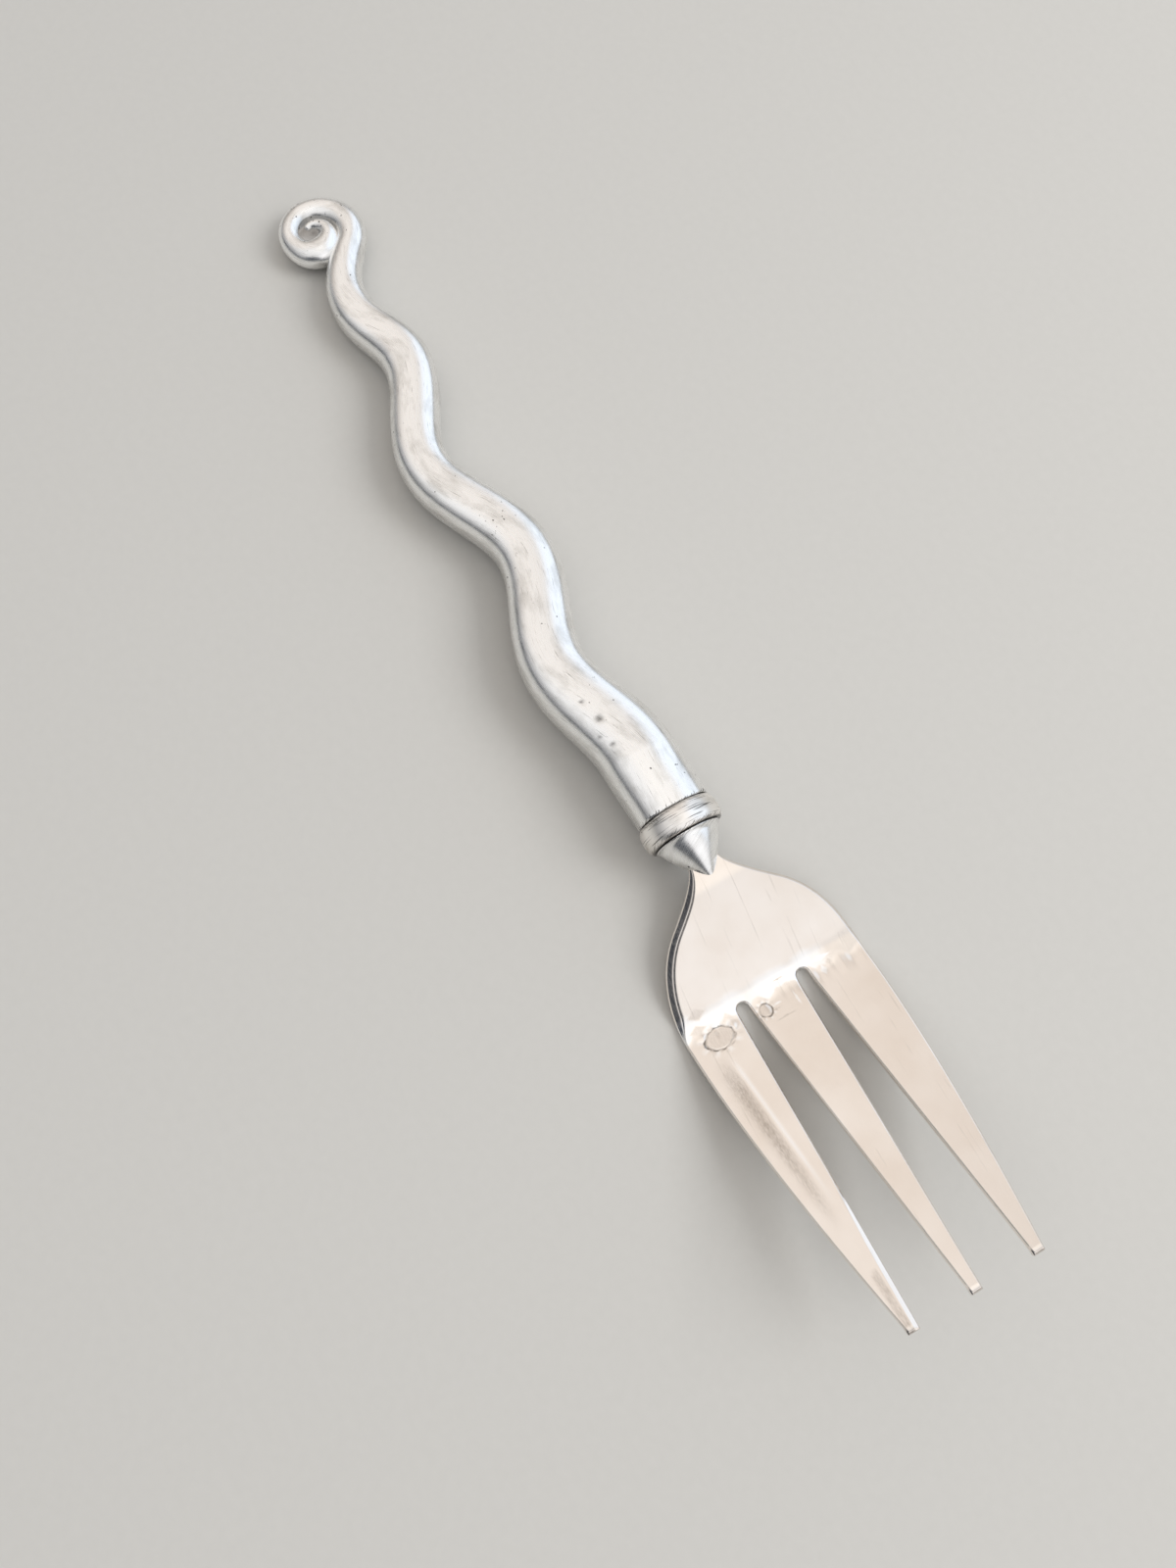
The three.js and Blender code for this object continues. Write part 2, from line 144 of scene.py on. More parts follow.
def polished_steel():
    """Cold-rolled stainless sheet, polished and much used: warm white, nearly a mirror under a haze of fine
    scratches that run along the fork, with broad cloudy tone from use, painted shade in the grooves of the
    press marks, and painted highlights and painted dull reflections over the face."""
    finish, tree = new_finish("polished_stainless_sheet")
    place = add(tree, "ShaderNodeTexCoord").outputs["Object"]
    # Scratches 9 mm long and 0.3 mm apart: finer ones would not show
    lengthwise = add(tree, "ShaderNodeMapping", Vector=place, Scale=(1 / 0.009, 1 / 0.0003, 1 / 0.0003))
    hair = add(tree, "ShaderNodeTexNoise", Vector=lengthwise.outputs[0], Scale=1.0, Detail=3.0, Roughness=0.6)
    # Single slanting scratches about 0.9 mm apart, broken into runs of about 6 mm
    across = add(tree, "ShaderNodeVectorMath", operation="DOT_PRODUCT", i0=place,
                 i1=(0.07 / 0.0009, 1 / 0.0009, 0))
    line = add(tree, "ShaderNodeTexNoise", noise_dimensions="1D", W=across.outputs["Value"],
               Scale=1.0, Detail=1.0)
    sharp = add(tree, "ShaderNodeMapRange", Value=line.outputs["Fac"], From_Min=0.62, From_Max=0.72)
    runs = add(tree, "ShaderNodeMapping", Vector=place, Scale=(1 / 0.006, 1 / 0.002, 1))
    broken = add(tree, "ShaderNodeTexNoise", Vector=runs.outputs[0], Scale=1.0, Detail=1.0)
    some = add(tree, "ShaderNodeMapRange", Value=broken.outputs["Fac"],
               From_Min=0.5, From_Max=0.7, To_Max=0.13)
    cut = add(tree, "ShaderNodeMath", operation="MULTIPLY", i0=sharp.outputs[0], i1=some.outputs[0])
    # Painted shade in the grooves round the press marks, shaken and made patchy by a noise of 1.6 mm
    wobble = add(tree, "ShaderNodeTexNoise", Vector=place, Scale=1 / 0.0016, Detail=2.0)
    patchy = add(tree, "ShaderNodeMapRange", Value=wobble.outputs["Fac"],
                 From_Min=0.38, From_Max=0.58, To_Min=1.0, To_Max=0.35)
    mark = cut.outputs[0]
    for past, y, long, wide, _ in PRESS_MARKS:
        reach = np.array([long * MM, wide * MM, 1])
        centre = np.array([(SEAM_X + HEEL + past) * MM, y * MM, 0])
        local = add(tree, "ShaderNodeMapping", Vector=place, Location=-centre / reach, Scale=1 / reach)
        level = add(tree, "ShaderNodeVectorMath", operation="MULTIPLY", i0=local.outputs[0], i1=(1, 1, 0))
        far = add(tree, "ShaderNodeVectorMath", operation="LENGTH", i0=level.outputs[0])
        shaken = add(tree, "ShaderNodeMath", operation="MULTIPLY_ADD", i0=wobble.outputs["Fac"], i1=0.5,
                     i2=far.outputs["Value"])
        miss = add(tree, "ShaderNodeMath", operation="SUBTRACT", i0=shaken.outputs[0], i1=1.25)
        near = add(tree, "ShaderNodeMath", operation="ABSOLUTE", i0=miss.outputs[0])
        ring = add(tree, "ShaderNodeMapRange", Value=near.outputs[0], From_Max=MARK_LINE / min(long, wide),
                   To_Min=0.95, To_Max=0.0)
        uneven = add(tree, "ShaderNodeMath", operation="MULTIPLY", i0=ring.outputs[0], i1=patchy.outputs[0])
        mark = add(tree, "ShaderNodeMath", operation="MAXIMUM", i0=mark, i1=uneven.outputs[0]).outputs[0]
    # Clouds of wear 12 mm across
    cloud = add(tree, "ShaderNodeTexNoise", Vector=place, Scale=1 / 0.012, Detail=3.0)
    tone = add(tree, "ShaderNodeValToRGB", Fac=cloud.outputs["Fac"])
    set_stops(tone, (0.3, linear("#EEE5DC")), (0.75, linear("#F8F2EC")))
    # Painted light from the mesh: painted shade and dull reflections, streaky, above zero, painted highlights
    # below
    wear = add(tree, "ShaderNodeAttribute", attribute_name="wear")
    streaky = add(tree, "ShaderNodeMapRange", Value=hair.outputs["Fac"],
                  From_Min=0.3, From_Max=0.7, To_Min=1.4, To_Max=0.5)
    painted_shade_share = add(tree, "ShaderNodeMath", operation="MULTIPLY", use_clamp=True, i0=wear.outputs["Fac"],
                 i1=streaky.outputs[0])
    # Below zero the colour goes white as a painted highlight; above zero it goes dark as painted shade
    bright = add(tree, "ShaderNodeMapRange", Value=wear.outputs["Fac"], From_Max=-1.0)
    painted_highlight = add(tree, "ShaderNodeMix", data_type="RGBA", i0=bright.outputs[0], i6=tone.outputs[0],
                    i7=linear("#FFFFFF"))
    painted_sheen_and_shade = add(tree, "ShaderNodeMix", data_type="RGBA", i0=painted_shade_share.outputs[0], i6=painted_highlight.outputs[2],
                 i7=linear("#8F857B"))
    # Scratches, and painted shade in the press marks' grooves, darken the colour
    scored_and_painted_shade = add(tree, "ShaderNodeMix", data_type="RGBA", i0=mark, i6=painted_sheen_and_shade.outputs[2],
                 i7=linear("#665F58"))
    dull = add(tree, "ShaderNodeMapRange", Value=hair.outputs["Fac"],
               From_Min=0.3, From_Max=0.8, To_Min=0.1, To_Max=0.22)
    raised = add(tree, "ShaderNodeMath", operation="SUBTRACT", i0=hair.outputs["Fac"], i1=mark)
    relief = add(tree, "ShaderNodeBump", Strength=0.15, Distance=0.00002, Height=raised.outputs[0])
    skin = add(tree, "ShaderNodeBsdfPrincipled", Base_Color=scored_and_painted_shade.outputs[2], Metallic=1.0,
               Roughness=dull.outputs[0], Normal=relief.outputs[0])
    add(tree, "ShaderNodeOutputMaterial", Surface=skin.outputs[0])
    return finish


def seam_scores(tree, lay):
    """Tool marks over a seam: strokes up to 1.3 mm long and about 0.3 mm apart, as darkness."""
    seam = add(tree, "ShaderNodeAttribute", attribute_name="seam")
    strokes = add(tree, "ShaderNodeMapping", Vector=lay.outputs["Vector"], Scale=(1 / 4, 1 / 0.32, 1))
    ragged = add(tree, "ShaderNodeTexNoise", Vector=strokes.outputs[0], Scale=1.0, Detail=2.0)
    length = add(tree, "ShaderNodeMapRange", Value=ragged.outputs["Fac"],
                 From_Min=0.48, From_Max=0.72, To_Min=0.06, To_Max=1.3)
    inside = add(tree, "ShaderNodeMath", operation="SUBTRACT", i0=length.outputs[0], i1=seam.outputs["Fac"])
    return add(tree, "ShaderNodeMapRange", Value=inside.outputs[0], From_Max=0.12, To_Max=0.75).outputs[0]


def cast_white_metal():
    """Sand-cast aluminium, filed and hand-polished: soft silver with grey smudges, scratches along the bar,
    small black pits, and painted shade in the curl's groove and eye."""
    finish, tree = new_finish("hand_polished_cast_aluminium")
    place = add(tree, "ShaderNodeTexCoord").outputs["Object"]
    lay = add(tree, "ShaderNodeAttribute", attribute_name="lay")
    hollow = add(tree, "ShaderNodeAttribute", attribute_name="hollow")
    # Scratches 5 mm along the bar and 0.35 mm apart round it
    lengthwise = add(tree, "ShaderNodeMapping", Vector=lay.outputs["Vector"], Scale=(1 / 5, 1 / 0.35, 1))
    hair = add(tree, "ShaderNodeTexNoise", Vector=lengthwise.outputs[0], Scale=1.0, Detail=3.0,
               Roughness=0.65)
    # Smudges 9 mm long and 3.5 mm wide
    smear = add(tree, "ShaderNodeMapping", Vector=lay.outputs["Vector"], Scale=(1 / 9, 1 / 3.5, 1))
    cloud = add(tree, "ShaderNodeTexNoise", Vector=smear.outputs[0], Scale=1.0, Detail=4.0, Roughness=0.6)
    tone = add(tree, "ShaderNodeValToRGB", Fac=cloud.outputs["Fac"])
    set_stops(tone, (0.27, linear("#D6D5D2")), (0.52, linear("#F8F8F7")))
    # Pits under 1 mm across, crowded into a few patches
    pore = add(tree, "ShaderNodeTexNoise", Vector=place, Scale=1 / 0.0009, Detail=1.0)
    patch = add(tree, "ShaderNodeTexNoise", Vector=place, Scale=1 / 0.014, Detail=1.0)
    crowd = add(tree, "ShaderNodeMath", operation="MULTIPLY_ADD", i0=patch.outputs["Fac"], i1=0.35,
                i2=pore.outputs["Fac"])
    pit = add(tree, "ShaderNodeMapRange", Value=crowd.outputs[0], From_Min=0.94, From_Max=1.0)
    fine = add(tree, "ShaderNodeMapRange", Value=hair.outputs["Fac"],
               From_Min=0.4, From_Max=0.28, To_Max=0.4)
    # The hollow values hold the pits' own dark and painted shade in the curl's groove and eye
    dark = add(tree, "ShaderNodeMath", operation="MAXIMUM", i0=pit.outputs[0], i1=hollow.outputs["Fac"])
    marked_and_painted_shade = add(tree, "ShaderNodeMath", operation="MAXIMUM", i0=dark.outputs[0], i1=fine.outputs[0])
    scored_and_painted_shade = add(tree, "ShaderNodeMath", operation="MAXIMUM", i0=marked_and_painted_shade.outputs[0],
                 i1=seam_scores(tree, lay))
    darkened_colour = add(tree, "ShaderNodeMix", data_type="RGBA", i0=scored_and_painted_shade.outputs[0], i6=tone.outputs[0],
               i7=linear("#3B3834"))
    dull = add(tree, "ShaderNodeMapRange", Value=hair.outputs["Fac"],
               From_Min=0.25, From_Max=0.8, To_Min=0.2, To_Max=0.34)
    raised = add(tree, "ShaderNodeMath", operation="SUBTRACT", i0=hair.outputs["Fac"], i1=pit.outputs[0])
    relief = add(tree, "ShaderNodeBump", Strength=0.2, Distance=0.00004, Height=raised.outputs[0])
    skin = add(tree, "ShaderNodeBsdfPrincipled", Base_Color=darkened_colour.outputs[2], Metallic=1.0,
               Roughness=dull.outputs[0], Normal=relief.outputs[0])
    add(tree, "ShaderNodeOutputMaterial", Surface=skin.outputs[0])
    return finish


def scratched_collar_metal():
    """The same casting at the bead: rougher, scored round and round by tools, with oxide along both seams."""
    finish, tree = new_finish("scored_cast_aluminium")
    lay = add(tree, "ShaderNodeAttribute", attribute_name="lay")
    # Scores 9 mm long round the bead and 0.24 mm apart across it
    round_about = add(tree, "ShaderNodeMapping", Vector=lay.outputs["Vector"], Scale=(1 / 0.24, 1 / 9, 1))
    score = add(tree, "ShaderNodeTexNoise", Vector=round_about.outputs[0], Scale=1.0, Detail=3.0,
                Roughness=0.6)
    # Smudges 6 mm long and 3 mm wide
    smear = add(tree, "ShaderNodeMapping", Vector=lay.outputs["Vector"], Scale=(1 / 3, 1 / 6, 1))
    cloud = add(tree, "ShaderNodeTexNoise", Vector=smear.outputs[0], Scale=1.0, Detail=3.0)
    tone = add(tree, "ShaderNodeValToRGB", Fac=cloud.outputs["Fac"])
    set_stops(tone, (0.3, linear("#D8D4CE")), (0.55, linear("#FBF8F4")))
    groove = add(tree, "ShaderNodeMapRange", Value=score.outputs["Fac"],
                 From_Min=0.42, From_Max=0.35, To_Max=0.85)
    dark = add(tree, "ShaderNodeMath", operation="MAXIMUM", i0=groove.outputs[0], i1=seam_scores(tree, lay))
    darkened_colour = add(tree, "ShaderNodeMix", data_type="RGBA", i0=dark.outputs[0], i6=tone.outputs[0],
               i7=linear("#45423E"))
    dull = add(tree, "ShaderNodeMapRange", Value=score.outputs["Fac"],
               From_Min=0.25, From_Max=0.8, To_Min=0.25, To_Max=0.45)
    relief = add(tree, "ShaderNodeBump", Strength=0.35, Distance=0.00008, Height=score.outputs["Fac"])
    skin = add(tree, "ShaderNodeBsdfPrincipled", Base_Color=darkened_colour.outputs[2], Metallic=1.0,
               Roughness=dull.outputs[0], Normal=relief.outputs[0])
    add(tree, "ShaderNodeOutputMaterial", Surface=skin.outputs[0])
    return finish


def cured_epoxy():
    """Filled epoxy cement: matt and grey-brown, with a fine grain."""
    finish, tree = new_finish("cured_epoxy_cement")
    place = add(tree, "ShaderNodeTexCoord").outputs["Object"]
    # Grains 0.5 mm across
    grain = add(tree, "ShaderNodeTexNoise", Vector=place, Scale=1 / 0.0005, Detail=3.0)
    tone = add(tree, "ShaderNodeValToRGB", Fac=grain.outputs["Fac"])
    set_stops(tone, (0.0, linear("#6E6A5F")), (1.0, linear("#A09A8A")))
    relief = add(tree, "ShaderNodeBump", Strength=0.4, Distance=0.0001, Height=grain.outputs["Fac"])
    skin = add(tree, "ShaderNodeBsdfPrincipled", Base_Color=tone.outputs[0], Roughness=0.7,
               Normal=relief.outputs[0])
    add(tree, "ShaderNodeOutputMaterial", Surface=skin.outputs[0])
    return finish


# Surfaces

def smooth(low, high, value):
    """0 below low, 1 above high, and 3t^2 - 2t^3 between."""
    t = np.clip((value - low) / (high - low), 0, 1)
    return t * t * (3 - 2 * t)


def between(rise, fall, value):
    """Goes smoothly from 0 to 1 over the first span, and back over the second."""
    return smooth(*rise, value) * (1 - smooth(*fall, value))


def curve(*corners, steps=40):
    """A quadratic curve: three corners weighted by (1 - t)^2, 2t(1 - t) and t^2."""
    t = np.linspace(0, 1, steps)[:, None]
    a, b, c = np.array(corners, float)
    return (1 - t) ** 2 * a + 2 * t * (1 - t) * b + t ** 2 * c


def grid_faces(points, around, first):
    """Four-sided faces between neighbours of a grid of points; around joins the last column to the first."""
    rows, columns = points.shape[:2]
    index = np.arange(rows * columns).reshape(rows, columns) + first
    if around:
        index = np.hstack([index, index[:, :1]])
    corners = index[:-1, :-1], index[:-1, 1:], index[1:, 1:], index[1:, :-1]
    return np.stack(corners, -1).reshape(-1, 4)


WELD = 2e-6  # metres


def make_piece(name, node, slot, finish, patches, around=False, **values):
    """One mesh from grids of points, with a value for each point under a name, one array for each grid.
    Points that fall together are welded, which closes seams and poles."""
    faces, first = [], 0
    for points in patches:
        faces.append(grid_faces(points, around, first))
        first += points.shape[0] * points.shape[1]
    flat = np.concatenate([points.reshape(-1, 3) for points in patches])
    flat = np.clip(flat + [SEAM_X, 0, 0], *(np.array(cad_box) / MM))
    mesh = bpy.data.meshes.new(name)
    mesh.from_pydata((flat * MM).tolist(), [], np.concatenate(faces).tolist())
    for title, grids in values.items():
        counts = [points.shape[0] * points.shape[1] for points in patches]
        numbers = np.concatenate([grid.reshape(count, -1) for grid, count in zip(grids, counts)])
        kind, key = ("FLOAT", "value") if numbers.shape[1] == 1 else ("FLOAT_VECTOR", "vector")
        attribute = mesh.attributes.new(title, kind, "POINT")
        attribute.data.foreach_set(key, numbers.ravel().astype(np.float32))
    work = bmesh.new()
    work.from_mesh(mesh)
    bmesh.ops.remove_doubles(work, verts=work.verts, dist=WELD)
    bmesh.ops.recalc_face_normals(work, faces=work.faces)
    work.to_mesh(mesh)
    work.free()
    mesh.polygons.foreach_set("use_smooth", np.ones(len(mesh.polygons), bool))
    mesh.materials.append(finish)
    piece = bpy.data.objects.new(name, mesh)
    bpy.context.scene.collection.objects.link(piece)
    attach(piece, "root")
    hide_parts(node)


# Steel head

def rounded_line(corners, radii, steps=16):
    """A line through corners, each inner one replaced by a quadratic curve that starts and ends
    radius / tan(half the corner's angle) from it."""
    corners = np.array(corners, float)
    line = [corners[:1]]
    for before, at, after, radius in zip(corners[:-2], corners[1:-1], corners[2:], radii):
        back = (before - at) / np.linalg.norm(before - at)
        ahead = (after - at) / np.linalg.norm(after - at)
        reach = radius / np.tan(np.arccos(np.clip(back @ ahead, -1, 1)) / 2)
        line.append(curve(at + back * reach, at, at + ahead * reach, steps=steps))
    line.append(corners[-1:])
    return np.concatenate(line)


HEEL_SOFTENING = 1.5  # the heel's bends are rounder than the solid's
PAST_TANG = 2.0  # the faces are worked out this much beyond the tang's end


def sheet_faces():
    """Heights of the head's two faces along x: the bent middle line moved half the thickness along its
    normal."""
    middle = STEEL_THICKNESS / 2
    start = HEEL + HEEL_LAND / 2
    slope = (TIP_RISE - TIP_THICKNESS / 2 - middle) / (TIPS - start)
    beyond = TIPS + STEEL_THICKNESS
    heel_radius = HEEL_SOFTENING * HEEL_BEND_RADIUS
    line = rounded_line(
        [(-TANG_LENGTH - PAST_TANG, AXIS_Z), (NOSE_TIP, AXIS_Z), (HEEL - HEEL_LAND / 2, middle),
         (start, middle), (beyond, middle + slope * (beyond - start))],
        [NECK_BEND_RADIUS, heel_radius, heel_radius])
    line = line[np.r_[True, np.linalg.norm(np.diff(line, axis=0), axis=1) > 1e-6]]
    travel = np.gradient(line, axis=0)
    travel /= np.linalg.norm(travel, axis=1)[:, None]
    up = np.stack([-travel[:, 1], travel[:, 0]], 1)
    share = np.clip((line[:, 0] - start) / (TIPS - start), 0, 1)
    half = (STEEL_THICKNESS + (TIP_THICKNESS - STEEL_THICKNESS) * share)[:, None] / 2
    return line + up * half, line - up * half


UPPER, LOWER = sheet_faces()
# The bend strays along x in zigzags: how far, their length across, and their shift as a share of it
BEND_STRAYS = [(0.45, 6.3, 0.15), (0.25, 3.7, 0.4), (0.1, 1.9, 0.0)]
BEND_MIDDLE, BEND_REACH = 1.2, 2.2  # past the heel
# Facets round a press mark: how many, where they rise and end as shares of its size, and their share of
# its depth
FACETS, FACETS_RISE, FACETS_END, FACET_DEPTH = 9, (1.0, 1.25), (1.25, 1.8), 0.5
MARK_GROOVE = 0.35  # width of a mark's groove


def zigzag(value):
    """Straight lines up and down between -1 and 1, two to each whole number."""
    return 4 * np.abs(value - np.floor(value + 0.5)) - 1


def uneven_bend(y):
    """How far the bend strays along x at each place across."""
    return sum(far * zigzag(y / length + shift) for far, length, shift in BEND_STRAYS)


def mark_rays(x, y, mark):
    """Distance from a press mark's middle as a share of its size, and the facets that spread from it: the
    cosine of the angle times their number, just outside the mark."""
    there, across, long, wide, _ = mark
    ahead, aside = (x - HEEL - there) / long, (y - across) / wide
    off = np.hypot(ahead, aside)
    return off, np.cos(FACETS * np.arctan2(ahead, aside)) * between(FACETS_RISE, FACETS_END, off)


def face_height(x, y):
    """Top of the sheet: the bent face with its bend a little uneven, less the press marks' grooves and
    facets."""
    bend = np.exp(-((x - HEEL - BEND_MIDDLE) / BEND_REACH) ** 2)
    z = np.interp(x + uneven_bend(y) * bend, UPPER[:, 0], UPPER[:, 1])
    for mark in PRESS_MARKS:
        off, rays = mark_rays(x, y, mark)
        wide, depth = mark[3:]
        z = z - depth * np.exp(-((off - 1) * wide / MARK_GROOVE) ** 2) - FACET_DEPTH * depth * rays
    return z


# Painted dull reflection in a streak down the left tine. Spans are past the heel
STREAK_MIDDLE, STREAK_SLANT = -SLOT_Y - 9.7, 0.055
STREAK_WIDTH, STREAK_NARROWING = 1.8, 0.02
STREAK_RISE, STREAK_PALES, STREAK_END = (5, 14), (22, 36), (34, 44)
STREAK_DULL, STREAK_PALING = 0.5, 0.4
# Painted highlight in a line on its right
SHINE_RISE, SHINE_END = (7, 11), (26, 40)
SHINE_ASIDE, SHINE_WIDTH, SHINE_BRIGHT = 2.1, 0.45, 0.8
# Painted dull reflection on a ground patch near the left tip, with its slanted start and its two sides across
PATCH_START, PATCH_SLANT = (45, 46), 0.4
PATCH_LEFT, PATCH_RIGHT, PATCH_DULL = (-14.4, -13.6), (-12.9, -12.4), 0.3
# Painted highlight along the bend: where it starts and ends, both ragged, the start by another stretch of the
# zigzags
FOLD_START, FOLD_END = (-3.8, -1.8), (0.3, 1.0)
START_RAGGED, END_RAGGED = 0.8, 1.5
FOLD_STRETCH, FOLD_SHIFT = 0.7, 2.0
FOLD_SHINE = np.array([  # across, and how bright the bend is there
    (-20.2, 0.8), (-8.5, 0.9), (-5, 0.65), (0, 1), (5.5, 1), (8.5, 1), (11.5, 0.7), (13.5, 0), (17, -0.12)])
# Press marks: painted highlights on their facets, and painted shade within, up to these shares of their size
RAYS_BRIGHT, MARK_DULL, MARK_WITHIN = 0.7, 0.14, (0.75, 0.95)
# Small flats that the press left along the bend, with painted reflections on them: past the heel, across,
# half length, half width, how dull as painted shade, and painted highlight below 0
PRESS_FLATS = [
    (-0.5, 11.3, 0.8, 3.0, -1.0), (1.9, 10.9, 1.3, 0.9, -1.0), (0.9, 12.6, 0.9, 0.9, 0.12),
    (-1.0, 2.0, 0.25, 1.5, 0.3), (3.0, -0.5, 0.35, 1.2, -0.9), (4.0, 3.3, 2.0, 0.4, -0.8),
    (5.9, -0.4, 0.25, 3.0, 0.25), (3.9, -1.4, 0.3, 1.1, 0.25),
    (-2.8, -15.6, 1.5, 2.6, 0.16), (0.0, -16.8, 1.3, 2.4, 0.12), (-0.9, -12.3, 1.0, 1.3, -1.0)]
FLAT_EDGE = 0.6, 1.0  # share of a flat's size over which it ends


def face_wear(x, y):
    """Painted light on the face: painted shade and dull reflections above zero, painted highlights below it:
    dull in a streak down the left tine, on a ground patch near its tip and within the press marks, bright
    beside the streak, round the marks and along the bend, with the press's flats as diamonds."""
    past = x - HEEL
    middle = STREAK_MIDDLE + STREAK_SLANT * past
    width = STREAK_WIDTH - STREAK_NARROWING * past
    streak = between(STREAK_RISE, STREAK_END, past) * (1 - STREAK_PALING * smooth(*STREAK_PALES, past))
    streak = streak * np.exp(-((y - middle) / width) ** 2)
    shine = between(SHINE_RISE, SHINE_END, past) * np.exp(-((y - middle - SHINE_ASIDE) / SHINE_WIDTH) ** 2)
    patch = smooth(*PATCH_START, past + PATCH_SLANT * y) * between(PATCH_LEFT, PATCH_RIGHT, y)
    fold = smooth(*FOLD_START, past + START_RAGGED * uneven_bend(FOLD_STRETCH * y + FOLD_SHIFT))
    fold = fold * (1 - smooth(*FOLD_END, past + END_RAGGED * uneven_bend(y)))
    fold = fold * np.interp(y, *FOLD_SHINE.T)
    rays = sum(np.clip(mark_rays(x, y, mark)[1], 0, 1) for mark in PRESS_MARKS)
    inside = sum(1 - smooth(*MARK_WITHIN, mark_rays(x, y, mark)[0]) for mark in PRESS_MARKS)
    painted_light_level = STREAK_DULL * streak + PATCH_DULL * patch + MARK_DULL * inside
    painted_light_level = painted_light_level - SHINE_BRIGHT * shine - fold - RAYS_BRIGHT * rays
    for there, across, long, wide, dull in PRESS_FLATS:
        near = np.abs(past - there) / long + np.abs(y - across) / wide
        painted_light_level = painted_light_level + (dull - painted_light_level) * (1 - smooth(*FLAT_EDGE, near))
    return painted_light_level


# Rims of the sheet: how far in from the outline the face starts to slope down, and how deep it gets there
LEFT_RIM, RIGHT_RIM, TINE_RIM, TIP_RIM = (1.9, 1.48), (0.6, 0.5), (0.28, 0.32), (0.75, 0.5)
TANG_RIM, TANG_RIM_END = 0.2, 1.0  # width, and how far past the tang's shoulder it runs
PALM_RIM_RISE, PALM_RIM_END = (-2, 6), (-4, 1.5)  # past the neck's end, and past the heel
UNDER_EDGE_DEPTH = 0.25
BEVEL = np.array([  # share of the way out, and share of the depth
    (0, 0), (0.12, 0.125), (0.22, 0.235), (0.275, 0.3), (0.3, 0.312), (0.33, 0.318), (0.36, 0.34),
    (0.5, 0.485), (0.67, 0.66), (0.84, 0.835), (1, 1)])
TIP_BEVEL, TIP_BEVEL_RISE = 0.6, (32, 50)  # ground on the left tine's inner edge, past the heel
SHOULDER_STEP = 0.3  # length over which the tang widens to the neck


def outer_edge(palm_rim):
    """The head's outline on one side, moved in by the width of its rim along its normal, with the way back
    out and the rim's depth: neck, hollow flank, round shoulder and tapering tine are straight lines and
    quadratic curves."""
    neck, palm, tang = NECK_WIDTH / 2, PALM_WIDTH / 2, TANG_WIDTH / 2
    shoulder = NOSE_START + TANG_IN_NOSE
    flank = NECK_END + FLANK_RUN
    hollow = flank - (FLANK_HALF_WIDTH - neck) / np.tan(FLANK_ANGLE)
    turn = flank + (palm - FLANK_HALF_WIDTH) / np.tan(FLANK_ANGLE)
    broad = HEEL + BROADEST_PAST_HEEL
    line = np.concatenate([
        np.linspace((-TANG_LENGTH, tang), (shoulder - SHOULDER_STEP, tang), 20),
        np.linspace((shoulder, neck), (NECK_END, neck), 12)[:-1],
        curve((NECK_END, neck), (hollow, neck), (flank, FLANK_HALF_WIDTH), steps=60)[:-1],
        curve((flank, FLANK_HALF_WIDTH), (turn, palm), (broad, palm), steps=80)[:-1],
        curve((broad, palm), (broad + TINE_FULLNESS, palm), (TIPS, TIP_SPACING + TIP_WIDTH / 2), steps=160)])
    travel = np.gradient(line, axis=0)
    travel /= np.linalg.norm(travel, axis=1)[:, None]
    out = np.stack([-travel[:, 1], travel[:, 0]], 1)
    x = line[:, 0]
    palm_part = smooth(*PALM_RIM_RISE, x - NECK_END) * (1 - smooth(*PALM_RIM_END, x - HEEL))
    reach, depth = (tine + (palm - tine) * palm_part for tine, palm in zip(TINE_RIM, palm_rim))
    reach = np.where(x < shoulder + TANG_RIM_END, TANG_RIM, reach)
    return line - out * reach[:, None], out * reach[:, None], depth


def wall(rim, reach, over, steps=8):
    """The sheet's edge below a rim of points on its face: a bevel of two slopes with a narrow land between
    them, a drop, and a quarter oval back in under the rim. Rows run from the upper face to the lower one."""
    share, fallen = BEVEL.T[..., None]
    turn = np.linspace(np.pi / 2, 0, steps)[:, None]
    top = rim[:, 2]
    bottom = np.interp(rim[:, 0], LOWER[:, 0], LOWER[:, 1])
    out = np.concatenate([share, np.sin(turn)])
    z = np.concatenate([top - over * fallen, bottom + UNDER_EDGE_DEPTH * (1 - np.cos(turn))])
    plan = rim[None, :, :2] + out[..., None] * reach[None]
    return np.concatenate([plan, z[..., None]], -1)


BEND_ROWS = 6, 8  # before and past the heel, where the rows of points lie closer
OUTER_COLUMNS, MIDDLE_COLUMNS = 54, 46


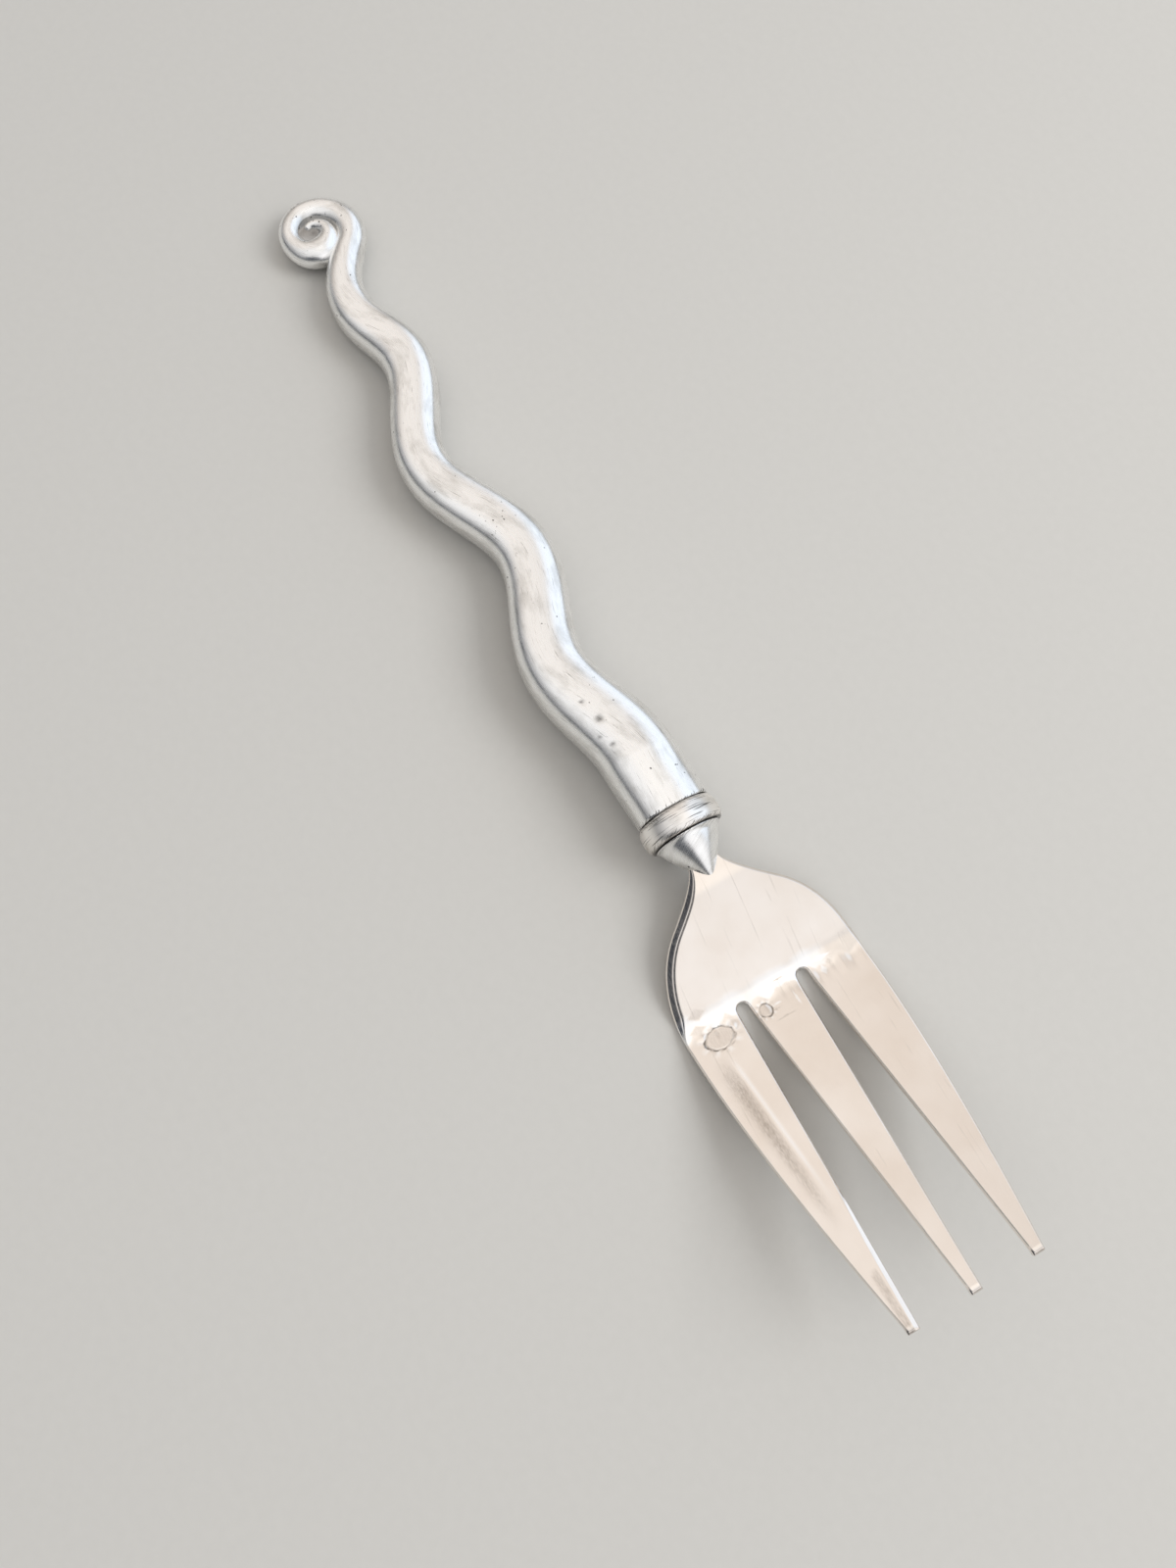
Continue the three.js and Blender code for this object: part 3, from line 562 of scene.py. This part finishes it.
def fork_head(finish):
    """Three strips of the sheet, one for each tine, run from the tang to the tips: y goes from one edge to
    the other of each strip. Up to the slots they share their edges, and past them each goes round its side
    of a slot's round end. Upper and lower face have the same plan, and walls join them."""
    tine_edge, tine_depth = TINE_RIM
    tip_edge, tip_depth = TIP_RIM
    root = SLOT_ROOT_RADIUS + tine_edge
    fork_x = SLOT_X - root
    bend_x, tine_x = HEEL - BEND_ROWS[0], HEEL + BEND_ROWS[1]
    bow = np.linspace(0, np.pi / 2, 16)
    stations = np.concatenate([
        np.linspace(-TANG_LENGTH, NECK_END, 20)[:-1],
        np.linspace(NECK_END, bend_x, 50)[:-1],
        np.linspace(bend_x, fork_x, 26)[:-1],
        SLOT_X - root * np.cos(bow[:-1]),
        np.linspace(SLOT_X, tine_x, 36)[:-1],
        np.linspace(tine_x, TIPS - tip_edge, 80)])
    sides = []
    for rim, reach, depth in (outer_edge(LEFT_RIM), outer_edge(RIGHT_RIM)):
        rows = rim[:, 1], reach[:, 0], reach[:, 1], depth
        sides.append([np.interp(stations, rim[:, 0], row) for row in rows])
    (left, left_x, left_y, left_depth), (right, right_x, right_y, right_depth) = sides
    left_out = np.stack([left_x, -left_y], 1)
    right_out = np.stack([right_x, right_y], 1)
    along = np.clip((stations - SLOT_X) / (TIPS - SLOT_X), 0, 1)
    before = np.clip(SLOT_X - stations, 0, root)
    sag = np.where(stations < SLOT_X, np.sqrt(np.clip(root ** 2 - before ** 2, 0, None)), root)
    split = stations >= fork_x - 1e-9
    shared = SLOT_Y * np.minimum(1, left / np.interp(fork_x, stations, left))
    tip = TIP_WIDTH / 2 - tine_edge
    inner = np.where(split, (SLOT_Y - sag) * (1 - along) + tip * along, shared)
    outside = np.where(split, (SLOT_Y + sag) * (1 - along) + (TIP_SPACING - tip) * along, shared)
    slot_out = np.stack([before / root, sag / root], 1) * tine_edge
    ground = TIP_BEVEL * smooth(*TIP_BEVEL_RISE, stations - HEEL)
    ground_out = slot_out * (1 + ground / tine_edge)[:, None]
    strips = [(-left, -outside - ground, OUTER_COLUMNS), (-inner, inner, MIDDLE_COLUMNS),
              (outside, right, OUTER_COLUMNS)]
    patches, tops = [], []
    for low, high, columns in strips:
        share = np.linspace(0, 1, columns)
        y = low[:, None] + (high - low)[:, None] * share
        x = np.repeat(stations[:, None], columns, 1)
        top = np.stack([x, y, face_height(x, y)], -1)
        tops.append(top)
        patches += [top, np.stack([x, y, np.interp(x, LOWER[:, 0], LOWER[:, 1])], -1)]
    ahead = np.array([tip_edge, 0])
    flip = np.array([1, -1])
    steady = np.full(len(stations), tine_depth)
    everywhere = np.ones(len(stations), bool)
    edges = [
        (tops[0][:, 0], left_out, left_depth, everywhere), (tops[0][:, -1], ground_out, steady, split),
        (tops[1][:, 0], slot_out * flip, steady, split), (tops[1][:, -1], slot_out, steady, split),
        (tops[2][:, 0], slot_out * flip, steady, split), (tops[2][:, -1], right_out, right_depth, everywhere)]
    for edge, outwards, over, keep in edges:
        outwards = outwards.copy()
        outwards[-1] += ahead
        over = np.append(over[:-1], tip_depth)
        patches.append(wall(edge[keep], outwards[keep], over[keep]))
    for top, low, high in zip(tops, edges[::2], edges[1::2]):
        outwards = np.repeat(ahead[None], top.shape[1], 0)
        outwards[0] += low[1][-1]
        outwards[-1] += high[1][-1]
        patches.append(wall(top[-1], outwards, np.full(top.shape[1], tip_depth)))
    back = np.concatenate([top[0] for top in tops])
    outwards = np.zeros((len(back), 2))
    outwards[0], outwards[-1] = left_out[0], right_out[0]
    patches.append(wall(back, outwards, np.full(len(back), left_depth[0])))
    # Painted highlights and painted shade for every point of the head
    wear = [face_wear(points[..., 0], points[..., 1]) for points in patches]
    make_piece("steel_fork_head", "fork_head", "polished_steel", finish, patches, wear=wear)


# Nose and collar

def turned_rings(profile, sides=128):
    """A profile of (x, radius) points turned round the fork's long axis, starting from underneath."""
    turn = -np.pi / 2 + np.linspace(0, 2 * np.pi, sides, endpoint=False)
    x, radius = np.asarray(profile, float).T
    return np.stack([np.repeat(x[:, None], sides, 1), radius[:, None] * np.cos(turn),
                     AXIS_Z + radius[:, None] * np.sin(turn)], -1)


def surface_lay(points, start=0.0):
    """Millimetres along the rows and round each ring, for marks that follow the surface."""
    steps = np.linalg.norm(np.diff(points.mean(1), axis=0), axis=1)
    along = start + np.concatenate([[0], np.cumsum(steps)])
    girth = np.linalg.norm(points - np.roll(points, 1, 1), axis=2)
    round_it = np.cumsum(girth, 1) - girth[:, :1]
    level = np.zeros(points.shape[:2])
    return np.stack([np.repeat(along[:, None], points.shape[1], 1), round_it, level], -1)


NOSE_LAY = 300.0  # the nose's marks come from another stretch of the pattern than the handle's
FILLET_HEIGHT, FILLET_SHARE = 0.6, 0.12  # of the nose at the collar, and the share of its length
NOSE_EDGE = -0.3, 0.5  # the rounded back edge starts and turns this far outside the nose's radius


def nose(finish):
    """Ogive: with u from the collar to the point, its radius falls as 1 - u^fullness, with a fillet at the
    collar that falls as the square of the distance. The back edge is a quadratic curve."""
    u = np.linspace(0, 1, 70)
    fillet = FILLET_HEIGHT * np.clip(1 - u / FILLET_SHARE, 0, 1) ** 2
    skin = np.stack([NOSE_START + NOSE_LENGTH * u, NOSE_RADIUS * (1 - u ** NOSE_FULLNESS) + fillet], 1)
    back = NOSE_START - SEAM_LAP
    corners = [(back, NOSE_RADIUS + out) for out in NOSE_EDGE]
    edge = curve(*corners, skin[1], steps=6)
    points = turned_rings(np.concatenate([[(back, 0)], edge, skin[2:]]))
    make_piece("nose_cap", "nose", "cast_metal", finish, [points], True, seam=[points[..., 0] - back],
               hollow=[np.zeros(points.shape[:2])], lay=[surface_lay(points, NOSE_LAY)])


CROWN_POWER = 0.8  # 1 is half a sine wave, less is fuller


def collar(finish):
    """Bead: a round crown as high as a power of sin(t), over a plain hole."""
    turn = np.linspace(0, np.pi, 48)
    start, end = SEAM_GAP - SEAM_LAP, COLLAR_END + SEAM_LAP
    crown = np.stack([start + (end - start) * (1 - np.cos(turn)) / 2,
                      COLLAR_RADIUS - COLLAR_CROWN * (1 - np.sin(turn) ** CROWN_POWER)], 1)
    hole = np.linspace((end, SOCKET_RADIUS), (start, SOCKET_RADIUS), 6)
    points = turned_rings(np.concatenate([crown, hole, crown[:1]]))
    seam = np.minimum(points[..., 0] - start, end - points[..., 0])
    make_piece("bead_collar", "collar_ring", "collar_metal", finish, [points], True,
               seam=[seam], lay=[surface_lay(points)])


# Handle. A ring is a row: along, aside, the two parts of its sideways direction, half width, half height,
# squareness

def spline(rows, at):
    """Catmull-Rom curve through evenly spaced rows, with its end rows doubled."""
    padded = np.concatenate([rows[:1], rows, rows[-1:]])
    i = np.clip(np.floor(at).astype(int), 0, len(rows) - 2)
    t = (at - i)[:, None]
    p0, p1, p2, p3 = (padded[i + k] for k in range(4))
    v0, v1 = (p2 - p0) / 2, (p3 - p1) / 2
    return (2 * p1 - 2 * p2 + v0 + v1) * t ** 3 + (3 * p2 - 3 * p1 - 2 * v0 - v1) * t ** 2 + v0 * t + p1


def wave_rings(steps=40):
    """Rings on the wave: half a cosine from each bend to the next, square to the path."""
    share = np.linspace(0, 1, steps, endpoint=False)
    swing = (1 - np.cos(np.pi * share)) / 2
    ahead, square = np.ones(steps), np.full(steps, HANDLE_SQUARENESS)
    rings = []
    for start, end in zip(HANDLE_BENDS[:-1], HANDLE_BENDS[1:]):
        along = start[0] + (end[0] - start[0]) * share
        aside = start[1] + (end[1] - start[1]) * swing
        half = start[2] + (end[2] - start[2]) * share
        slope = (end[1] - start[1]) * np.pi * np.sin(np.pi * share) / 2 / (end[0] - start[0])
        rings.append(np.stack([along, aside, -slope, ahead, half, HANDLE_FLATNESS * half, square], 1))
    along, aside, half = HANDLE_BENDS[-1]
    rings.append(np.array([[along, aside, 0, 1, half, HANDLE_FLATNESS * half, HANDLE_SQUARENESS]]))
    return np.concatenate(rings)


def roll_rings(start, end, steps=32):
    """Rings on the curl: at each quarter turn past the top, reach, width and height follow splines through
    the table."""
    quarters = np.linspace(start, end, int(round((end - start) * steps)) + 1)
    reach, half, tall = spline(CURL_QUARTERS, quarters + 1).T
    turn = quarters * np.pi / 2
    side = np.stack([np.sin(turn), np.cos(turn)], 1)
    square = np.full(len(turn), CURL_SQUARENESS)
    return np.concatenate([CURL_EYE + side * reach[:, None], side, np.stack([half, tall, square], 1)], 1)


def stem_rings(start, end, steps=32):
    """Rings on the stem: a cubic curve that leaves the last bend and meets the roll square to both rings."""
    away, arriving = start[[3, 2]] * [1, -1], end[[3, 2]] * [1, -1]
    a, b, c, d = start[:2], start[:2] + away * STEM_PULL, end[:2] - arriving * STEM_PULL, end[:2]
    t = np.linspace(0, 1, steps + 1)[1:-1, None]
    at = (1 - t) ** 3 * a + 3 * t * (1 - t) ** 2 * b + 3 * t ** 2 * (1 - t) * c + t ** 3 * d
    travel = 3 * (1 - t) ** 2 * (b - a) + 6 * t * (1 - t) * (c - b) + 3 * t ** 2 * (d - c)
    travel /= np.linalg.norm(travel, axis=1)[:, None]
    return np.concatenate([at, -travel[:, 1:], travel[:, :1], start[4:] + (end[4:] - start[4:]) * t], 1)


def tube(rings, droop, sides=96):
    """Rings along a path, starting from underneath, each an oval swollen by
    (|cos t|^n + |sin t|^n)^(-1/n), where n is its squareness; the axis sinks by droop for each millimetre."""
    turn = -np.pi / 2 + np.linspace(0, 2 * np.pi, sides, endpoint=False)
    square = rings[:, 6:7]
    swell = (np.abs(np.cos(turn)) ** square + np.abs(np.sin(turn)) ** square) ** (-1 / square)
    side = rings[:, 2:4] / np.linalg.norm(rings[:, 2:4], axis=1)[:, None]
    plan = rings[:, None, :2] + side[:, None] * (rings[:, 4:5] * np.cos(turn) * swell)[..., None]
    z = (AXIS_Z - droop * rings[:, :1]) + rings[:, 5:6] * np.sin(turn) * swell
    return np.stack([-plan[..., 0], plan[..., 1], z], -1)


def closed_end(rings, length, steps=8):
    """Rings that round off a tube's end: sizes fall as cos t while the path goes on by length times sin t."""
    turn = np.linspace(0, np.pi / 2, steps + 1)[1:, None]
    last = np.repeat(rings[-1:], steps, 0)
    ahead = np.stack([last[:, 3], -last[:, 2]], 1)
    last[:, :2] += ahead * length * np.sin(turn)
    last[:, 4:6] *= np.cos(turn)
    return np.concatenate([rings, last])


CORE_ROUNDING = 0.8  # length of the roll's rounded end
EDGE_STEPS, EDGE_DEPTH, EDGE_SHRINK, EDGE_LAST_TURN = 5, 0.5, 0.06, 0.2  # eased edge at the collar
# Painted shade in the curl: darkness between the turns and in the eye, the bar's half height there, and where
# it ends
GROOVE_DARK, EYE_DARK, ROLL_HALF_HEIGHT = 0.45, 0.75, 2.6
GROOVE_HEIGHTS, GROOVE_REACH, EYE_REACH = (0.55, 0.9), (5.0, 6.2), (0.6, 1.6)
# Pits in the handle's back: along from the seam, across, radius
CASTING_PITS = [(22.7, -4.2, 0.7), (16.7, -4.5, 0.45), (27.5, -5.4, 0.4), (19.5, -6.0, 0.35)]
PIT_DEPTH, PIT_DARK = 0.15, 0.85


def handle(finish):
    """One tube for socket, wave, stem and roll, and a thin web between the turns. The back has a few pits
    whose depth falls as exp(-(distance / radius)^2)."""
    wave = wave_rings()
    roll = roll_rings(ROLL_JOIN, CORE_END)
    outer = np.concatenate([wave, stem_rings(wave[-1], roll[0]), roll])
    droop = np.min((AXIS_Z - outer[1:, 5]) / outer[1:, 0])
    skin = tube(closed_end(outer, CORE_ROUNDING), droop)
    depth = TANG_LENGTH + SEAM_GAP + SOCKET_END_WALL
    sides = skin.shape[1]
    bore = turned_rings([(-depth, 0), (-depth, SOCKET_RADIUS), (SEAM_LAP, SOCKET_RADIUS)], sides)
    edge = np.repeat(skin[:1], EDGE_STEPS, 0)
    easing = np.linspace(np.pi / 2, EDGE_LAST_TURN, EDGE_STEPS)[:, None]
    shrunk = (1 - EDGE_SHRINK * (1 - np.cos(easing)))[..., None]
    edge[..., 0] = SEAM_LAP - EDGE_DEPTH * (1 - np.sin(easing))
    edge[..., 1:] = [0, AXIS_Z] + (edge[..., 1:] - [0, AXIS_Z]) * shrunk
    skin = np.concatenate([bore, edge, skin[1:]])
    eye = np.array([-CURL_EYE[0], CURL_EYE[1], AXIS_Z - droop * CURL_EYE[0]])
    turn = np.linspace(0, 2 * np.pi, sides, endpoint=False)
    disc = np.array([(0, 1), (1, 1), (1, -1), (0, -1)]) * [WEB_RADIUS, WEB_HALF_HEIGHT]
    reach, level = disc[:, :1], np.repeat(disc[:, 1:], sides, 1)
    web = eye + np.stack([reach * np.cos(turn), reach * np.sin(turn), level], -1)
    patches = [skin, web]
    # Painted shade between the curl's turns and in its eye
    hollows = []
    for points in patches:
        reach = np.hypot(points[..., 0] - eye[0], points[..., 1] - eye[1])
        height = np.abs(points[..., 2] - eye[2]) / ROLL_HALF_HEIGHT
        groove = GROOVE_DARK * (1 - smooth(*GROOVE_HEIGHTS, height)) * (1 - smooth(*GROOVE_REACH, reach))
        hollows.append(np.maximum(groove, EYE_DARK * (1 - smooth(*EYE_REACH, reach))))
    x, y, z = np.moveaxis(skin, -1, 0)
    pitted = np.zeros(skin.shape[:2])
    for along, across, radius in CASTING_PITS:
        pitted += np.exp(-((x + along) ** 2 + (y - across) ** 2) / radius ** 2) * (z > AXIS_Z)
    skin[..., 2] -= PIT_DEPTH * pitted
    hollows[0] = np.maximum(hollows[0], PIT_DARK * np.clip(pitted, 0, 1))
    make_piece("cast_handle", "handle_casting", "cast_metal", finish, patches, True,
               hollow=hollows, seam=[SEAM_LAP - points[..., 0] for points in patches],
               lay=[surface_lay(points) for points in patches])


steel = polished_steel()
cast = cast_white_metal()
fork_head(steel)
nose(cast)
collar(scratched_collar_metal())
handle(cast)
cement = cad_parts["tang_cement"]
cement.data.materials.clear()
cement.data.materials.append(cured_epoxy())


# Stage, in metres

FLOOR_DROP = 5e-5
FLOOR_FLAT = 2.4
SWEEP_WIDTH = 1.2
SWEEP_RISE = 0.6


def pale_floor():
    """Matt pale paper with a very faint tooth: a round sheet that sweeps up at its edge. By the turn and the
    angle up the sweep, the reach is the flat part and the width times the sine, and the height is the rise
    times one less the cosine."""
    finish, tree = new_finish("matt_pale_paper")
    place = add(tree, "ShaderNodeTexCoord").outputs["Object"]
    # Tooth of 2 mm
    tooth = add(tree, "ShaderNodeTexNoise", Vector=place, Scale=1 / 0.002, Detail=2.0)
    tone = add(tree, "ShaderNodeValToRGB", Fac=tooth.outputs["Fac"])
    set_stops(tone, (0.0, linear("#BFBDB8")), (1.0, linear("#C3C1BC")))
    skin = add(tree, "ShaderNodeBsdfPrincipled", Base_Color=tone.outputs[0], Roughness=0.9,
               Specular_IOR_Level=0.2)
    add(tree, "ShaderNodeOutputMaterial", Surface=skin.outputs[0])
    turn = np.linspace(0, 2 * np.pi, 96, endpoint=False)
    up = np.linspace(0, np.pi / 2, 25)[:, None]
    reach = FLOOR_FLAT + SWEEP_WIDTH * np.sin(up)
    level = SWEEP_RISE * (1 - np.cos(up)) - FLOOR_DROP + 0 * turn
    points = np.stack([reach * np.cos(turn), reach * np.sin(turn), level], -1)
    sweep = grid_faces(points, True, 0)[:, [0, 3, 2, 1]]  # turned over, to face up
    mesh = bpy.data.meshes.new("floor")
    mesh.from_pydata(points.reshape(-1, 3).tolist(), [], [list(range(len(turn))), *sweep.tolist()])
    mesh.materials.append(finish)
    floor = bpy.data.objects.new("floor", mesh)
    bpy.context.scene.collection.objects.link(floor)


VIEW_TURN, VIEW_TILT = np.radians(60.62), np.radians(16)
VIEW_PLACE = np.array([82.77, -46.27, 253.25]) * MM
LENS, SENSOR, NEAREST = 29.25, 36, 0.01


def camera():
    """Straight down, tipped by the tilt and turned by the turn."""
    lens = bpy.data.cameras.new("camera")
    lens.lens, lens.sensor_width, lens.clip_start = LENS, SENSOR, NEAREST
    eye = bpy.data.objects.new("camera", lens)
    eye.location = VIEW_PLACE
    eye.rotation_euler = (VIEW_TILT, 0, VIEW_TURN)
    bpy.context.scene.collection.objects.link(eye)
    bpy.context.scene.camera = eye


KEY_PLACE, KEY_SIZE, KEY_POWER = (0.42, 0.75, 0.8), 0.6, 7.0


def key_lamp():
    """A square lamp that faces the fork."""
    lamp = bpy.data.lights.new("key", "AREA")
    lamp.size, lamp.energy = KEY_SIZE, KEY_POWER
    box = bpy.data.objects.new("key", lamp)
    x, y, z = KEY_PLACE
    box.location = KEY_PLACE
    box.rotation_euler = (0, np.arctan2(np.hypot(x, y), z), np.arctan2(y, x))
    box.visible_glossy = False  # the room alone shows in the metal
    bpy.context.scene.collection.objects.link(box)


# Light from the room, as it shows in the metal: towards, cosine where it starts and where it is full,
# strength
ROOM_GLOW = 0.355, 0.355, 0.365
ROOM_LIGHTS = [
    ((0.1, 0.4, 0.9), -0.05, 0.6, (0.62, 0.61, 0.6)),  # pale ceiling and walls
    ((0.0, 0.18, 0.98), 0.90, 0.995, (0.18, 0.155, 0.12)),  # their brightest part
    ((-0.75, 0.1, 0.65), 0.7, 0.97, (-0.03, -0.08, -0.13)),  # dimmer and warmer towards the curl
    ((-0.05, 0.93, 0.4), 0.52, 0.64, (-0.14, -0.14, -0.14)),  # window frame on the right
    ((-0.05, 0.93, 0.4), 0.67, 0.78, (0.18, 0.27, 0.38)),  # cool window
    ((0.9, 0.1, 0.42), 0.82, 0.97, (0.16, 0.16, 0.17)),  # pale wall beyond the tips
]
# Dark shapes: towards, cosine where they start and where they are full, how much light they take away
DARK_WALL = (0.0, -1.0, 0.0), 0.5, 0.72, 1.0
DARK_DOOR = (0.72, -0.6, 0.25), 0.82, 0.93, 0.95
# Sine of the height up the dark wall, and how dark it is there
DARK_HEIGHTS = [(0.0, 0.97), (0.29, 0.97), (0.37, 0.0)]
DARK_TONE = 0.028, 0.036, 0.05, 1.0


def studio():
    """A plain room as sums of soft round patches, each rising from one angle to another, less a dark wall
    on the left whose darkness changes with height and a dark doorway."""
    world = bpy.data.worlds.new("studio")
    bpy.context.scene.world = world
    world.use_nodes = True
    tree = world.node_tree
    tree.nodes.clear()
    way = add(tree, "ShaderNodeTexCoord").outputs["Generated"]

    def patch(towards, start, full, most):
        """A soft round patch, by the cosine of the angle from its middle."""
        unit = np.array(towards) / np.linalg.norm(towards)
        facing = add(tree, "ShaderNodeVectorMath", operation="DOT_PRODUCT", i0=way, i1=unit)
        return add(tree, "ShaderNodeMapRange", interpolation_type="SMOOTHSTEP",
                   Value=facing.outputs["Value"], From_Min=start, From_Max=full, To_Max=most).outputs[0]

    total = ROOM_GLOW
    for towards, start, full, colour in ROOM_LIGHTS:
        total = add(tree, "ShaderNodeVectorMath", operation="MULTIPLY_ADD",
                    i0=patch(towards, start, full, 1.0), i1=colour, i2=total).outputs[0]
    height = add(tree, "ShaderNodeSeparateXYZ", Vector=way)
    shade = add(tree, "ShaderNodeValToRGB", Fac=height.outputs["Z"])
    set_stops(shade, *[(place, (dark, dark, dark, 1)) for place, dark in DARK_HEIGHTS])
    taken = add(tree, "ShaderNodeMath", operation="MULTIPLY", i0=shade.outputs[0], i1=patch(*DARK_WALL))
    most = add(tree, "ShaderNodeMath", operation="MAXIMUM", i0=taken.outputs[0], i1=patch(*DARK_DOOR))
    tone = add(tree, "ShaderNodeMix", data_type="RGBA", i0=most.outputs[0], i6=total, i7=DARK_TONE)
    light = add(tree, "ShaderNodeBackground", Color=tone.outputs[2])
    add(tree, "ShaderNodeOutputWorld", Surface=light.outputs[0])


pale_floor()
camera()
studio()
key_lamp()
bpy.context.scene.view_settings.view_transform = "Standard"
